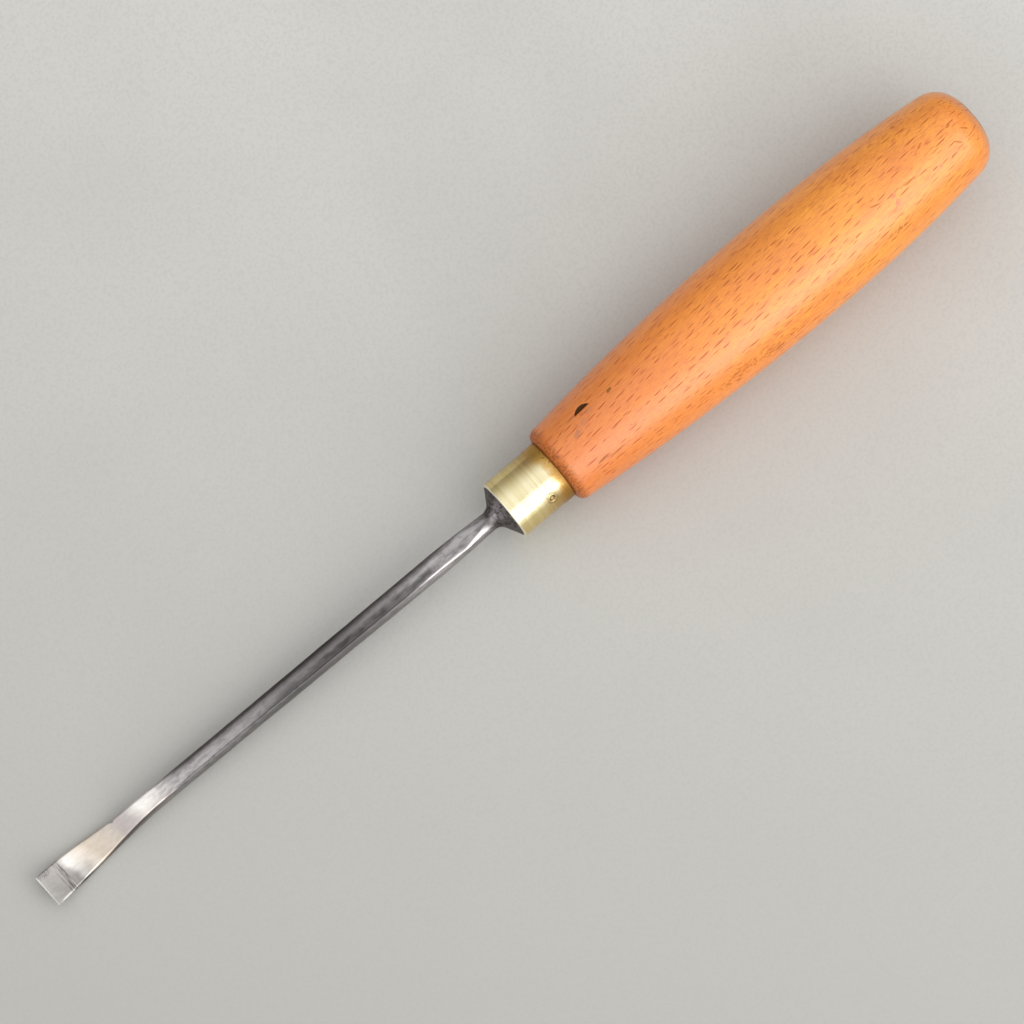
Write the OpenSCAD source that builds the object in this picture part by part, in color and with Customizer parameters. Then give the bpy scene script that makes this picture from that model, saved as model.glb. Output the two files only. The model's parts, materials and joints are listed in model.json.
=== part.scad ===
// Spoon gouge: a forged spoon blade, a staked brass ferrule and a turned wooden handle.
// Sizes are in millimetres. The tool lies on its belly and on the back of its spoon, hollow side up.

/* [Handle] */
// length of the handle from its butt to the shoulder behind the ferrule
handle_length = 129.2; // [100:0.1:160]
// diameter of the handle at its widest
handle_diameter = 28.8; // [24:0.1:35]
// height of the step from the ferrule's outside up to the barrel at the shoulder
shoulder_step = 2.15; // [1.2:0.05:4]
// diameter the barrel tapers to at the butt
handle_butt_diameter = 21.6; // [18:0.1:23.5]
// distance of the widest place from the butt
handle_widest_at = 52.8; // [40:0.1:70]
// rounding of the shoulder's outer corner
shoulder_rounding = 2.2; // [1:0.1:3]
// rounding of the butt's corner
butt_rounding = 7.6; // [3:0.1:8]
// radius of the domed butt face
butt_dome_radius = 36; // [25:1:60]

/* [Ferrule] */
// length of the ferrule, from the shoulder to the bolster
ferrule_length = 15.4; // [11:0.1:22]
// outer diameter of the ferrule
ferrule_diameter = 15.7; // [13:0.1:19]
// wall thickness of the ferrule
ferrule_wall = 0.9; // [0.8:0.05:1.1]
// chamfer on the ferrule's outer edges
ferrule_chamfer = 0.3; // [0.1:0.05:0.4]
// gap between the ferrule's bore and the handle's spigot
ferrule_clearance = 0.02; // [0:0.01:0.1]

/* [Stake mark] */
// distance of the punched stake mark in front of the shoulder
stake_from_shoulder = 5.2; // [2:0.1:8]
// angle of the stake mark from the top of the tool
stake_angle = 50; // [0:1:180]
// diameter of the stake mark's mouth
stake_diameter = 1.7; // [1:0.1:2.2]
// depth of the stake mark below the ferrule's surface
stake_depth = 1.1; // [0.6:0.1:1.3]
// thickness of the brass left under the stake mark
stake_skin = 0.4; // [0.2:0.05:0.6]

/* [Tang] */
// length of the tang inside the handle
tang_length = 62; // [40:1:80]
// width of the square tang at the bolster
tang_width = 6; // [4:0.1:8]
// width of the square tang at its point
tang_point_width = 2.4; // [1.5:0.1:3.5]
// corner chamfer of the tang
tang_chamfer = 0.3; // [0.1:0.05:0.6]
// gap between the tang and its socket
tang_clearance = 0.1; // [0.02:0.01:0.3]

/* [Bolster] */
// distance of the bolster's rim inside the ferrule's outside
bolster_inset = 0.7; // [0.3:0.05:0.75]
// thickness of the bolster's rim before the flare starts
bolster_rim = 0.15; // [0.1:0.05:1]
// angle of the bolster's cone from the tool's axis
flare_angle = 60; // [50:1:70]
// radius of the fillet between the bolster's cone and the neck
flare_fillet = 2.5; // [1.5:0.1:4]
// diameter of the round neck in front of the bolster
neck_diameter = 4.9; // [4:0.1:6]

/* [Shank] */
// distance of the cutting edge from the ferrule's front edge
blade_reach = 138.2; // [120:0.1:170]
// width of the shank at its swell behind the neck
shank_swell_width = 5.4; // [4.5:0.1:6.5]
// distance of the swell from the ferrule's front edge
shank_swell_at = 20; // [15:0.5:30]
// width of the shank where the spoon starts to bend
shank_end_width = 4.7; // [4:0.1:6]
// thickness of the shank where the spoon starts to bend
shank_end_thickness = 4.3; // [3.5:0.1:5.5]
// corner chamfer of the eight-sided shank
shank_chamfer = 0.9; // [0.5:0.05:1.2]
// sideways offset of the neck from the handle's axis
neck_offset = 0.4; // [0:0.05:0.8]
// sideways offset of the spoon's bowl from the handle's axis
spoon_offset = 1.25; // [0:0.05:1.5]
// sideways offset of the cutting edge from the handle's axis
edge_offset = 0.35; // [0:0.05:1.5]

/* [Spoon] */
// length of the spoon from the start of its bend to the cutting edge
spoon_length = 33; // [30:0.5:45]
// distance of the bowl's lowest place from the cutting edge
bowl_low_from_edge = 14.5; // [12:0.5:18]
// radius of the bowl's lengthwise curve on its hollow side
bowl_radius = 36; // [32:1:45]
// steepest downward slope between the shank and the bowl
dive_angle = 15; // [10:1:18]
// thickness of the bowl
bowl_thickness = 1.7; // [1.2:0.1:2.4]
// width of the cutting edge
edge_width = 8.5; // [6:0.1:10]
// rise of the hollow's long edges above its middle at the cutting edge
sweep_rise = 0.45; // [0:0.05:0.8]
// chamfer on the spoon's long edges
spoon_chamfer = 0.45; // [0.2:0.05:0.6]
// length of the ground facet behind the cutting edge
facet_length = 5.7; // [3:0.1:8]
// slope of the ground facet
facet_angle = 19; // [16:1:24]
// thickness left at the cutting edge
edge_thickness = 0.15; // [0.1:0.01:0.3]
// angle the cutting edge is out of square
edge_skew = 2; // [0:0.5:8]

/* [Hidden] */
$fn = 96;

steel_colour = [0.33, 0.33, 0.35];
brass_colour = [0.72, 0.62, 0.27];
beech_colour = [0.80, 0.45, 0.18];

// Handle barrel: two arcs that share a tangent at the widest place
handle_radius = handle_diameter / 2;
ferrule_radius = ferrule_diameter / 2;
shoulder_radius = ferrule_radius + shoulder_step;
butt_x = -(ferrule_length + handle_length);
widest_x = butt_x + handle_widest_at;
shoulder_x = -ferrule_length;
back_arc_radius = arc_radius(handle_widest_at, handle_radius - handle_butt_diameter / 2);
front_arc_radius = arc_radius(handle_length - handle_widest_at, handle_radius - shoulder_radius);
back_arc_centre = [widest_x, handle_radius - back_arc_radius];
front_arc_centre = [widest_x, handle_radius - front_arc_radius];
dome_centre = [butt_x + butt_dome_radius, 0];
butt_corner = meeting_point(dome_centre, butt_dome_radius - butt_rounding,
                            back_arc_centre, back_arc_radius - butt_rounding);
shoulder_corner = front_arc_centre + [shoulder_x - shoulder_rounding - widest_x,
    other_leg(front_arc_radius - shoulder_rounding, shoulder_x - shoulder_rounding - widest_x)];
barrel_steps = 20;
corner_steps = 8;

// Ferrule and the spigot inside it
bore_radius = ferrule_radius - ferrule_wall;
spigot_radius = bore_radius - ferrule_clearance;
stake_x = shoulder_x + stake_from_shoulder;
stake_slope = stake_diameter / 2 / stake_depth;

// Bolster flare: a cone from the rim, eased into the neck by a fillet
bolster_radius = ferrule_radius - bolster_inset;
neck_radius = neck_diameter / 2;
flare_drop = bolster_radius - neck_radius;
neck_x = bolster_rim + flare_drop / tan(flare_angle) + flare_fillet * tan(flare_angle / 2);
flare_steps = 8;

// Spoon profile: an arc that dives, an arc that rises again, and a straight facet
bend_x = blade_reach - spoon_length;
low_x = blade_reach - bowl_low_from_edge;
crease_x = blade_reach - facet_length;
turn_x = low_x - bowl_radius * sin(dive_angle);
dive_radius = (turn_x - bend_x) / sin(dive_angle);
low_z = shank_end_thickness / 2 - (dive_radius + bowl_radius) * (1 - cos(dive_angle));
crease_z = low_z + bowl_radius - other_leg(bowl_radius, crease_x - low_x);
edge_z = crease_z + facet_length * tan(facet_angle);
flat_back_x = (low_x + crease_x) / 2;

// Rest pose: one line touches the belly's arc and the arc on the back of the bowl
bowl_back_radius = bowl_radius + bowl_thickness;
belly_centre = [widest_x, front_arc_radius - handle_radius];
bowl_centre = [low_x, low_z + bowl_radius];
centre_step = bowl_centre - belly_centre;
rest_tilt = atan2(centre_step[0], -centre_step[1])
            - acos((front_arc_radius - bowl_back_radius) / norm(centre_step));
axis_height = front_arc_radius + belly_centre[0] * sin(rest_tilt) - belly_centre[1] * cos(rest_tilt);
rear_end = dome_centre[0] * cos(rest_tilt) - butt_dome_radius;
front_end = blade_reach * cos(rest_tilt) + edge_z * sin(rest_tilt);
middle_x = (rear_end + front_end) / 2;

// Blade sections: eight sides, of which the top and the back are cut into steps
face_steps = 13;
edge_chamfer_share = 0.3;
ring_size = 2 * face_steps + 6;
neck_stations = 8;
shank_stations = 12;
dive_stations = 10;
bowl_stations = 14;
facet_stations = 3;

// Plane geometry

function arc_radius(run, drop) = (run * run + drop * drop) / (2 * drop);

function other_leg(hypotenuse, leg) = sqrt(hypotenuse * hypotenuse - leg * leg);

// place nearest the butt where two circles meet, given their centres and radii
function meeting_point(a, ra, b, rb) =
    let (gap = norm(b - a), along = (b - a) / gap, across = [along[1], -along[0]])
    let (reach = (gap * gap + ra * ra - rb * rb) / (2 * gap))
    let (side = other_leg(ra, reach))
    let (one = a + along * reach + across * side, two = a + along * reach - across * side)
    one[0] < two[0] ? one : two;

function direction(from, to) = atan2(to[1] - from[1], to[0] - from[0]);

function arc(centre, radius, start, end, steps) =
    [for (i = [0 : steps]) let (a = start + (end - start) * i / steps) centre + radius * [cos(a), sin(a)]];

function share(low, high, x) = min(1, max(0, (x - low) / (high - low)));

function ease(low, high, x) = (1 - cos(180 * share(low, high, x))) / 2;

function mix(a, b, part) = a + (b - a) * part;

// Handle outline, from the middle of the butt round to the middle of the spigot's end

function handle_outline() =
    let (dome_end = direction(dome_centre, butt_corner))
    let (back_start = direction(back_arc_centre, butt_corner))
    let (front_end_angle = direction(front_arc_centre, shoulder_corner))
    concat(
        arc(dome_centre, butt_dome_radius, 180, dome_end, corner_steps),
        arc(butt_corner, butt_rounding, dome_end, back_start, corner_steps),
        arc(back_arc_centre, back_arc_radius, back_start, 90, barrel_steps),
        arc(front_arc_centre, front_arc_radius, 90, front_end_angle, barrel_steps),
        arc(shoulder_corner, shoulder_rounding, front_end_angle, 0, corner_steps),
        [[shoulder_x, spigot_radius], [0, spigot_radius], [0, 0]]);

// Blade shape along the tool, as functions of the distance x from the ferrule's front edge

function shank_width(x) =
    x < shank_swell_at
        ? mix(neck_diameter, shank_swell_width, ease(neck_x, shank_swell_at, x))
        : mix(shank_swell_width, shank_end_width, share(shank_swell_at, bend_x, x));

function blade_width(x) = shank_width(x) + (edge_width - shank_end_width) * ease(bend_x, blade_reach, x);

function blade_thickness(x) =
    x < bend_x ? mix(neck_diameter, shank_end_thickness, share(neck_x, bend_x, x))
    : x < crease_x ? mix(shank_end_thickness, bowl_thickness, ease(bend_x, low_x, x))
    : mix(bowl_thickness, edge_thickness, share(crease_x, blade_reach, x));

function blade_chamfer(x) =
    min(mix(shank_chamfer, spoon_chamfer, ease(bend_x, low_x, x)), blade_thickness(x) * edge_chamfer_share);

function blade_offset(x) =
    let (bowl = mix(neck_offset, spoon_offset, share(neck_x, bend_x, x)))
    -mix(bowl, edge_offset, pow(share(low_x, blade_reach, x), 2));

function top_slope(x) =
    x < bend_x ? 0
    : x < turn_x ? -asin((x - bend_x) / dive_radius)
    : x < crease_x ? asin((x - low_x) / bowl_radius)
    : facet_angle;

function top_height(x) =
    x < bend_x ? blade_thickness(x) / 2
    : x < turn_x ? shank_end_thickness / 2 - dive_radius + other_leg(dive_radius, x - bend_x)
    : x < crease_x ? low_z + bowl_radius - other_leg(bowl_radius, x - low_x)
    : crease_z + (x - crease_x) * tan(facet_angle);

// Blade sections, as rings of points given by their sideways and upward places

function eight_sides(w, t, c) =
    let (half_w = w / 2, half_t = t / 2)
    let (right = [[half_w, half_t - c], [half_w - c, half_t]])
    let (left = [[c - half_w, half_t], [-half_w, half_t - c]])
    concat(right, left, -right, -left);

function flat_ring(w, t, c) =
    let (corners = eight_sides(w, t, c))
    [for (i = [0 : 7])
        let (steps = i % 4 == 1 ? face_steps : 1)
        for (j = [0 : steps - 1]) mix(corners[i], corners[(i + 1) % 8], j / steps)];

function round_ring(diameter) =
    [for (i = [0 : ring_size - 1]) let (a = 360 * (i + 0.5) / ring_size) diameter / 2 * [cos(a), sin(a)]];

// hollows a ring's top; its back stays flat across as far as the place on which the bowl rests
function swept(ring, w, rise, back_rise) =
    [for (p = ring) [p[0], p[1] + (p[1] > 0 ? rise : back_rise) * pow(2 * p[0] / w, 2)]];

function upright(ring, x, y) = [for (p = ring) [x, y + p[0], p[1]]];

// a ring whose top middle is at [x, z], leaning with the slope of the blade there
function leaning(ring, x, y, z, thickness, slope, skew) =
    [for (p = ring)
        let (down = p[1] - thickness / 2, ahead = -p[0] * tan(skew))
        [x + ahead * cos(slope) - down * sin(slope), y + p[0], z + ahead * sin(slope) + down * cos(slope)]];

function tang_ring(x, width) = upright(flat_ring(width, width, tang_chamfer), x, 0);

// places along and radii of the flare, from the rim to the neck
function flare_outline() =
    concat([[bolster_rim, bolster_radius]],
           arc([neck_x, neck_radius + flare_fillet], flare_fillet, 270 - flare_angle, 270, flare_steps));

function flare_ring(x, radius) =
    upright(round_ring(2 * radius), x, -neck_offset * (bolster_radius - radius) / flare_drop);

function blade_ring(x) =
    let (w = blade_width(x), t = blade_thickness(x))
    let (octagon = flat_ring(w, t, blade_chamfer(x)))
    let (ring = mix(round_ring(neck_diameter), octagon, ease(neck_x, shank_swell_at, x)))
    let (rise = sweep_rise * ease(turn_x, blade_reach, x))
    let (hollow = swept(ring, w, rise, rise * ease(flat_back_x, blade_reach, x)))
    leaning(hollow, x, blade_offset(x), top_height(x), t, top_slope(x), x < blade_reach ? 0 : edge_skew);

function spaced(from, to, count) = [for (i = [1 : count]) mix(from, to, i / count)];

function blade_stations() =
    concat(spaced(neck_x, shank_swell_at, neck_stations),
           spaced(shank_swell_at, bend_x, shank_stations),
           spaced(bend_x, turn_x, dive_stations),
           spaced(turn_x, crease_x, bowl_stations),
           spaced(crease_x, blade_reach, facet_stations));

function blade_rings() =
    concat([tang_ring(-tang_length, tang_point_width), tang_ring(0, tang_width)],
           [upright(round_ring(2 * bolster_radius), 0, 0)],
           [for (p = flare_outline()) flare_ring(p[0], p[1])],
           [for (x = blade_stations()) blade_ring(x)]);

// Skin of triangles over a row of rings, closed by a flat face at each end
module loft(rings) {
    last = len(rings) - 1;
    skin = [for (k = [0 : last - 1]) for (i = [0 : ring_size - 1])
        let (next = (i + 1) % ring_size, here = k * ring_size, ahead = here + ring_size)
        each [[here + i, ahead + i, ahead + next], [here + i, ahead + next, here + next]]];
    rear_cap = [for (i = [0 : ring_size - 1]) i];
    front_cap = [for (i = [ring_size - 1 : -1 : 0]) last * ring_size + i];
    polyhedron([for (ring = rings) each ring], concat(skin, [rear_cap, front_cap]));
}

// Places a tool drawn along its own axis in the pose in which it lies on a table
module at_rest() {
    translate([-middle_x, 0, axis_height])
        rotate([0, rest_tilt, 0])
            children();
}

module turned(outline) {
    rotate([0, 90, 0])
        rotate_extrude()
            polygon([for (p = outline) [p[1], p[0]]]);
}

// Cone whose point lies at the given depth below the ferrule's surface, along the stake's direction
module stake_cone(depth, height) {
    translate([stake_x, 0, 0])
        rotate([-stake_angle, 0, 0])
            translate([0, 0, ferrule_radius - depth])
                cylinder(h = height, r1 = 0, r2 = height * stake_slope);
}

module tang_socket() {
    width = tang_width + 2 * tang_clearance;
    point = tang_point_width + 2 * tang_clearance;
    depth = tang_length + tang_clearance;
    rotate([0, -90, 0])
        linear_extrude(depth, scale = point / width)
            square(width, center = true);
}

module blade() {
    color(steel_colour)
        at_rest()
            loft(blade_rings());
}

module ferrule() {
    outline = [
        [-ferrule_length, bore_radius],
        [-ferrule_length, ferrule_radius - ferrule_chamfer],
        [ferrule_chamfer - ferrule_length, ferrule_radius],
        [-ferrule_chamfer, ferrule_radius],
        [0, ferrule_radius - ferrule_chamfer],
        [0, bore_radius]];
    boss_depth = stake_depth + stake_skin;
    color(brass_colour)
        at_rest()
            difference() {
                union() {
                    turned(outline);
                    stake_cone(boss_depth, boss_depth - ferrule_wall / 2);
                }
                stake_cone(stake_depth, 2 * stake_depth);
            }
}

module handle() {
    recess_depth = stake_depth + stake_skin + tang_clearance;
    color(beech_colour)
        at_rest()
            difference() {
                turned(handle_outline());
                tang_socket();
                stake_cone(recess_depth, recess_depth);
            }
}

blade();
ferrule();
handle();
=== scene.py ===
"""Looks of the spoon gouge: detailed meshes, materials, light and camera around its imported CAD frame.

Meshes and patterns are drawn in millimetres along the tool: x runs from the ferrule's front edge to the
cutting edge, y across and z up from the handle's axis. skin() turns them into metres of the frame.
Right is the +y side and left the -y side, as seen from the cutting edge.
"""

import json
import math
from functools import cached_property, reduce

import bpy
import numpy as np
from mathutils import Matrix, Vector, noise


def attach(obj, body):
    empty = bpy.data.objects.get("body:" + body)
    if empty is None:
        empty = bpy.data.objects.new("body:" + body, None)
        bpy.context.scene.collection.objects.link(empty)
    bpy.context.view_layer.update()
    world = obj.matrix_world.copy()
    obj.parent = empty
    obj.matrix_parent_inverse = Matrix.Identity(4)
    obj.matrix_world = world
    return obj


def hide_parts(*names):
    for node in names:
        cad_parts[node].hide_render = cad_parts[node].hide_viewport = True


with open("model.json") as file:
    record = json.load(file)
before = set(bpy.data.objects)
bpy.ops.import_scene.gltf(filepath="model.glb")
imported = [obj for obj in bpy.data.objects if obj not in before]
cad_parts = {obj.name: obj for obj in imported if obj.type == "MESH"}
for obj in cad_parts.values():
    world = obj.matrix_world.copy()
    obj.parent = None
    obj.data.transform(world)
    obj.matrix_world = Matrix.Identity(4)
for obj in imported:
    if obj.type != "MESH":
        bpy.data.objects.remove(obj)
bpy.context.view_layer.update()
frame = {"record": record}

MM = 0.001

# Handle sizes, as in the CAD source
handle_length = 129.2
handle_radius = 14.4
handle_butt_radius = 10.8
handle_widest_at = 52.8
shoulder_step = 2.15
shoulder_rounding = 2.2
butt_rounding = 7.6
butt_dome_radius = 36.0

# Ferrule and stake mark sizes
ferrule_length = 15.4
ferrule_radius = 7.85
ferrule_wall = 0.9
ferrule_chamfer = 0.3
spigot_clearance = 0.02
stake_from_shoulder = 5.2
stake_angle = math.radians(50)
stake_radius = 0.85
stake_depth = 0.45  # of the dish that shows, which is shallower than the CAD model's cone

# Tang, bolster and shank sizes
tang_length = 62.0
tang_width = 6.0
tang_point_width = 2.4
tang_chamfer = 0.3
tang_clearance = 0.1
bolster_inset = 0.7
bolster_rim = 0.15
flare_angle = math.radians(60)
flare_fillet = 2.5
neck_radius = 2.45
blade_reach = 138.2
shank_swell_width = 5.4
shank_swell_at = 20.0
shank_end_width = 4.7
shank_end_thickness = 4.3
shank_chamfer = 0.9
neck_offset = 0.4
spoon_offset = 1.25
edge_offset = 0.35

# Spoon sizes
spoon_length = 33.0
bowl_low_from_edge = 14.5
bowl_radius = 36.0
dive_angle = math.radians(15)
bowl_thickness = 1.7
edge_width = 8.5
sweep_rise = 0.45
spoon_chamfer = 0.45
facet_length = 5.7
facet_angle = math.radians(19)
edge_thickness = 0.15
edge_skew = math.radians(2)

# Marks of use that the photograph shows
chip_x = -28.3
chip_angle = math.radians(-28)
chip_half_length = 2.8
chip_half_width = 1.3
chip_depth = 0.7
notch_x = 116.5
notch_half_length = 0.4
notch_depth = 0.6


# Plane geometry

def share(low, high, x):
    return np.clip((x - low) / (high - low), 0.0, 1.0)


def ease(low, high, x):
    return (1 - np.cos(math.pi * share(low, high, x))) / 2


def mix(a, b, part):
    return a + (b - a) * part


def arc_radius(run, drop):
    """Radius of the arc that falls by drop over run from a level start."""
    return (run * run + drop * drop) / (2 * drop)


def other_leg(hypotenuse, leg):
    return np.sqrt(hypotenuse * hypotenuse - leg * leg)


def direction(start, end):
    return math.atan2(end[1] - start[1], end[0] - start[0])


def arc(centre, radius, start, end, steps):
    angles = np.linspace(start, end, steps + 1)
    return np.column_stack([centre[0] + radius * np.cos(angles), centre[1] + radius * np.sin(angles)])


def meeting_point(a, radius_a, b, radius_b):
    """Place nearest the butt where two circles meet."""
    a, b = np.array(a), np.array(b)
    gap = np.linalg.norm(b - a)
    along = (b - a) / gap
    across = np.array([along[1], -along[0]])
    reach = (gap * gap + radius_a * radius_a - radius_b * radius_b) / (2 * gap)
    side = other_leg(radius_a, reach)
    one = a + along * reach + across * side
    two = a + along * reach - across * side
    return one if one[0] < two[0] else two


# Places that follow from the sizes

shoulder_x = -ferrule_length
butt_wear = 0.01  # keeps the butt's dome inside the CAD model's box
butt_x = shoulder_x - handle_length + butt_wear
widest_x = butt_x + handle_widest_at
shoulder_radius = ferrule_radius + shoulder_step
spigot_radius = ferrule_radius - ferrule_wall - spigot_clearance
back_arc = arc_radius(handle_widest_at, handle_radius - handle_butt_radius)
front_arc = arc_radius(handle_length - handle_widest_at, handle_radius - shoulder_radius)
stake_x = shoulder_x + stake_from_shoulder

bolster_radius = ferrule_radius - bolster_inset
flare_drop = bolster_radius - neck_radius
neck_x = bolster_rim + flare_drop / math.tan(flare_angle) + flare_fillet * math.tan(flare_angle / 2)
bend_x = blade_reach - spoon_length
low_x = blade_reach - bowl_low_from_edge
crease_x = blade_reach - facet_length
flat_back_x = (low_x + crease_x) / 2
turn_x = low_x - bowl_radius * math.sin(dive_angle)
dive_radius = (turn_x - bend_x) / math.sin(dive_angle)
low_z = shank_end_thickness / 2 - (dive_radius + bowl_radius) * (1 - math.cos(dive_angle))
crease_z = low_z + bowl_radius - other_leg(bowl_radius, crease_x - low_x)

mount = frame["record"]["mounts"][0]
tool_axis = Vector(mount["axis"])
rest_tilt = math.atan2(-tool_axis.z, tool_axis.x)
ferrule_front = Vector(mount["pos_m"]) + tool_axis * (ferrule_length * MM / 2)
tool_place = Matrix.Translation(ferrule_front) @ Matrix.Rotation(rest_tilt, 4, "Y")


# Meshes from rows of rings

def add_object(name, data):
    """New object of the scene that shows the given mesh, lamp or camera."""
    added = bpy.data.objects.new(name, data)
    bpy.context.scene.collection.objects.link(added)
    return added


def in_frame(points):
    """Points of the tool in millimetres as places of the frame in metres."""
    turn = np.array(tool_place.to_3x3())
    return points * MM @ turn.T + np.array(ferrule_front)


def skin(name, rings, looped=False, sharp_angle=40, **marks):
    """Piece covered by quads over rings of points; open ends are closed by fans round a middle point.

    Each mark is a number for every point of the rings, kept as an attribute that the material can read.
    """
    rows, around, _ = rings.shape
    index = np.arange(rows * around).reshape(rows, around)
    here = index if looped else index[:-1]
    ahead = np.roll(index, -1, axis=0) if looped else index[1:]
    quads = np.stack([here, ahead, np.roll(ahead, -1, axis=1), np.roll(here, -1, axis=1)], axis=-1)
    points = rings.reshape(-1, 3)
    faces = quads.reshape(-1, 4).tolist()
    if not looped:
        points = np.concatenate([points, [rings[0].mean(axis=0)], [rings[-1].mean(axis=0)]])
        faces += [[rows * around, index[0, i], index[0, (i + 1) % around]] for i in range(around)]
        faces += [[rows * around + 1, index[-1, (i + 1) % around], index[-1, i]] for i in range(around)]
    mesh = bpy.data.meshes.new(name)
    mesh.from_pydata(in_frame(points).tolist(), [], faces)
    mesh.shade_smooth()
    mesh.set_sharp_from_angle(angle=math.radians(sharp_angle))
    for mark, amounts in marks.items():
        numbers = np.zeros(len(points), np.float32)
        numbers[:amounts.size] = amounts.ravel()
        mesh.attributes.new(mark, "FLOAT", "POINT").data.foreach_set("value", numbers)
    return add_object(name, mesh)


def closer_near(angle, half_range, coarse, fine):
    """Angles all the way round that are spaced more closely near the given one."""
    inside = np.arange(angle - half_range, angle + half_range, fine)
    outside = np.arange(angle + half_range, angle - half_range + 2 * math.pi - coarse / 2, coarse)
    return np.concatenate([inside, outside])


def around_axis(outline, angles, inward):
    """Rings turned from an outline of places along and radii, each point moved inward by the given amount."""
    radii = outline[:, 1:] - inward
    along = np.broadcast_to(outline[:, :1], radii.shape)
    return np.stack([along, radii * np.sin(angles), radii * np.cos(angles)], axis=-1)


# Handle

def barrel_radius(x):
    radius = np.where(x > widest_x, front_arc, back_arc)
    return handle_radius - radius + other_leg(radius, x - widest_x)


def handle_outline():
    """Outside of the handle from the butt to the spigot's end, rows closer together near the chip."""
    dome_centre = [butt_x + butt_dome_radius, 0]
    back_centre = [widest_x, handle_radius - back_arc]
    front_centre = [widest_x, handle_radius - front_arc]
    butt_corner = meeting_point(dome_centre, butt_dome_radius - butt_rounding,
                                back_centre, back_arc - butt_rounding)
    corner_x = shoulder_x - shoulder_rounding
    corner_height = other_leg(front_arc - shoulder_rounding, corner_x - widest_x)
    shoulder_corner = [corner_x, front_centre[1] + corner_height]
    dome_end = direction(dome_centre, butt_corner)
    back_start = direction(back_centre, butt_corner)
    front_end = direction(front_centre, shoulder_corner)
    pole_angle = math.radians(179.3)
    barrel_start = back_centre[0] + back_arc * math.cos(back_start)
    barrel_end = front_centre[0] + front_arc * math.cos(front_end)
    barrel = np.concatenate([
        np.linspace(barrel_start, chip_x - 3, 190),
        np.linspace(chip_x - 3, chip_x + 3, 34)[1:],
        np.linspace(chip_x + 3, barrel_end, 16)[1:]])
    return np.concatenate([
        arc(dome_centre, butt_dome_radius, pole_angle, dome_end, 22)[:-1],
        arc(butt_corner, butt_rounding, dome_end, back_start, 18)[:-1],
        np.column_stack([barrel, barrel_radius(barrel)]),
        arc(shoulder_corner, shoulder_rounding, front_end, 0, 14)[1:],
        [[shoulder_x, spigot_radius + 0.6], [shoulder_x, spigot_radius]],
        np.column_stack([np.linspace(shoulder_x + 1, 0, 8), np.full(8, spigot_radius)])])


def chip_hollow(x, angles, radius):
    """Share of depth of the splinter lost near the ferrule: a half moon with a steep, curved upper side."""
    along = (x - chip_x) / chip_half_length
    across = (angles - chip_angle) * radius / chip_half_width
    straight_side = 0.75
    from_curve = across - straight_side + 1.6 * (1 - along * along)
    return ease(0, 0.5, from_curve) * (1 - ease(-0.2, straight_side, across)) * (np.abs(along) < 1)


def dents(x, angles, radius):
    """Shallow knocks scattered over the barrel, always in the same places."""
    dent_count = 46
    scatter = np.random.default_rng(11)
    depth = np.zeros(np.broadcast_shapes(x.shape, angles.shape))
    for _ in range(dent_count):
        middle_x = scatter.uniform(butt_x + 6, shoulder_x - 4)
        middle_angle = scatter.uniform(-math.pi, math.pi)
        long, wide = scatter.uniform(0.6, 2.4), scatter.uniform(0.5, 1.3)
        turn = (angles - middle_angle + math.pi) % (2 * math.pi) - math.pi
        spread = ((x - middle_x) / long) ** 2 + (turn * radius / wide) ** 2
        depth += scatter.uniform(0.02, 0.08) * np.exp(-spread)
    return depth


def socket_rings(angles):
    """Square hole for the tang, narrowing to a flat bottom."""
    corner = np.maximum(np.abs(np.sin(angles)), np.abs(np.cos(angles)))
    rings = []
    for part in np.linspace(0, 1, 8):
        half = mix(tang_width, tang_point_width, part) / 2 + tang_clearance
        x = -part * (tang_length + tang_clearance)
        rings.append(np.stack([np.full_like(angles, x), half / corner * np.sin(angles),
                               half / corner * np.cos(angles)], axis=-1))
    return np.array(rings)


def build_handle():
    outline = handle_outline()
    angles = closer_near(chip_angle, math.radians(8), math.radians(1.6), math.radians(0.4))
    x, radius = outline[:, :1], outline[:, 1:]
    on_barrel = ease(butt_x + 2, butt_x + 9, x) * (1 - ease(shoulder_x - 1.5, shoulder_x - 0.3, x))
    hand_turned = 0.03 * (1 + np.sin(2 * angles + 0.05 * x) * np.cos(0.11 * x + 1))
    chip = on_barrel * chip_hollow(x, angles, radius)
    inward = on_barrel * (hand_turned + dents(x, angles, radius)) + chip_depth * chip
    rings = np.concatenate([around_axis(outline, angles, inward), socket_rings(angles)])
    return skin("beech_handle", rings, sharp_angle=35, chip=chip)


# Ferrule

def ferrule_outline():
    """Closed outline of the ferrule's wall, rows closer together at the stake mark."""
    barrel = np.concatenate([
        np.linspace(shoulder_x + ferrule_chamfer, stake_x - 1.6, 30),
        np.linspace(stake_x - 1.6, stake_x + 1.6, 44)[1:],
        np.linspace(stake_x + 1.6, -ferrule_chamfer, 84)[1:]])
    bore_radius = ferrule_radius - ferrule_wall
    chamfer_radius = ferrule_radius - ferrule_chamfer
    return np.concatenate([
        [[shoulder_x, bore_radius], [shoulder_x, ferrule_radius - 0.1]],
        np.column_stack([barrel, np.full_like(barrel, ferrule_radius)]),
        [[-ferrule_chamfer * 0.6, ferrule_radius - ferrule_chamfer * 0.12],
         [-ferrule_chamfer * 0.2, ferrule_radius - ferrule_chamfer * 0.5],
         [0, chamfer_radius], [0, bore_radius]],
        np.column_stack([np.linspace(-1, shoulder_x + 1, 6), np.full(6, bore_radius)])])


def from_stake(x, angles):
    """Distance over the ferrule's surface from the middle of the stake mark."""
    return np.hypot(x - stake_x, (angles - stake_angle) * ferrule_radius)


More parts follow.
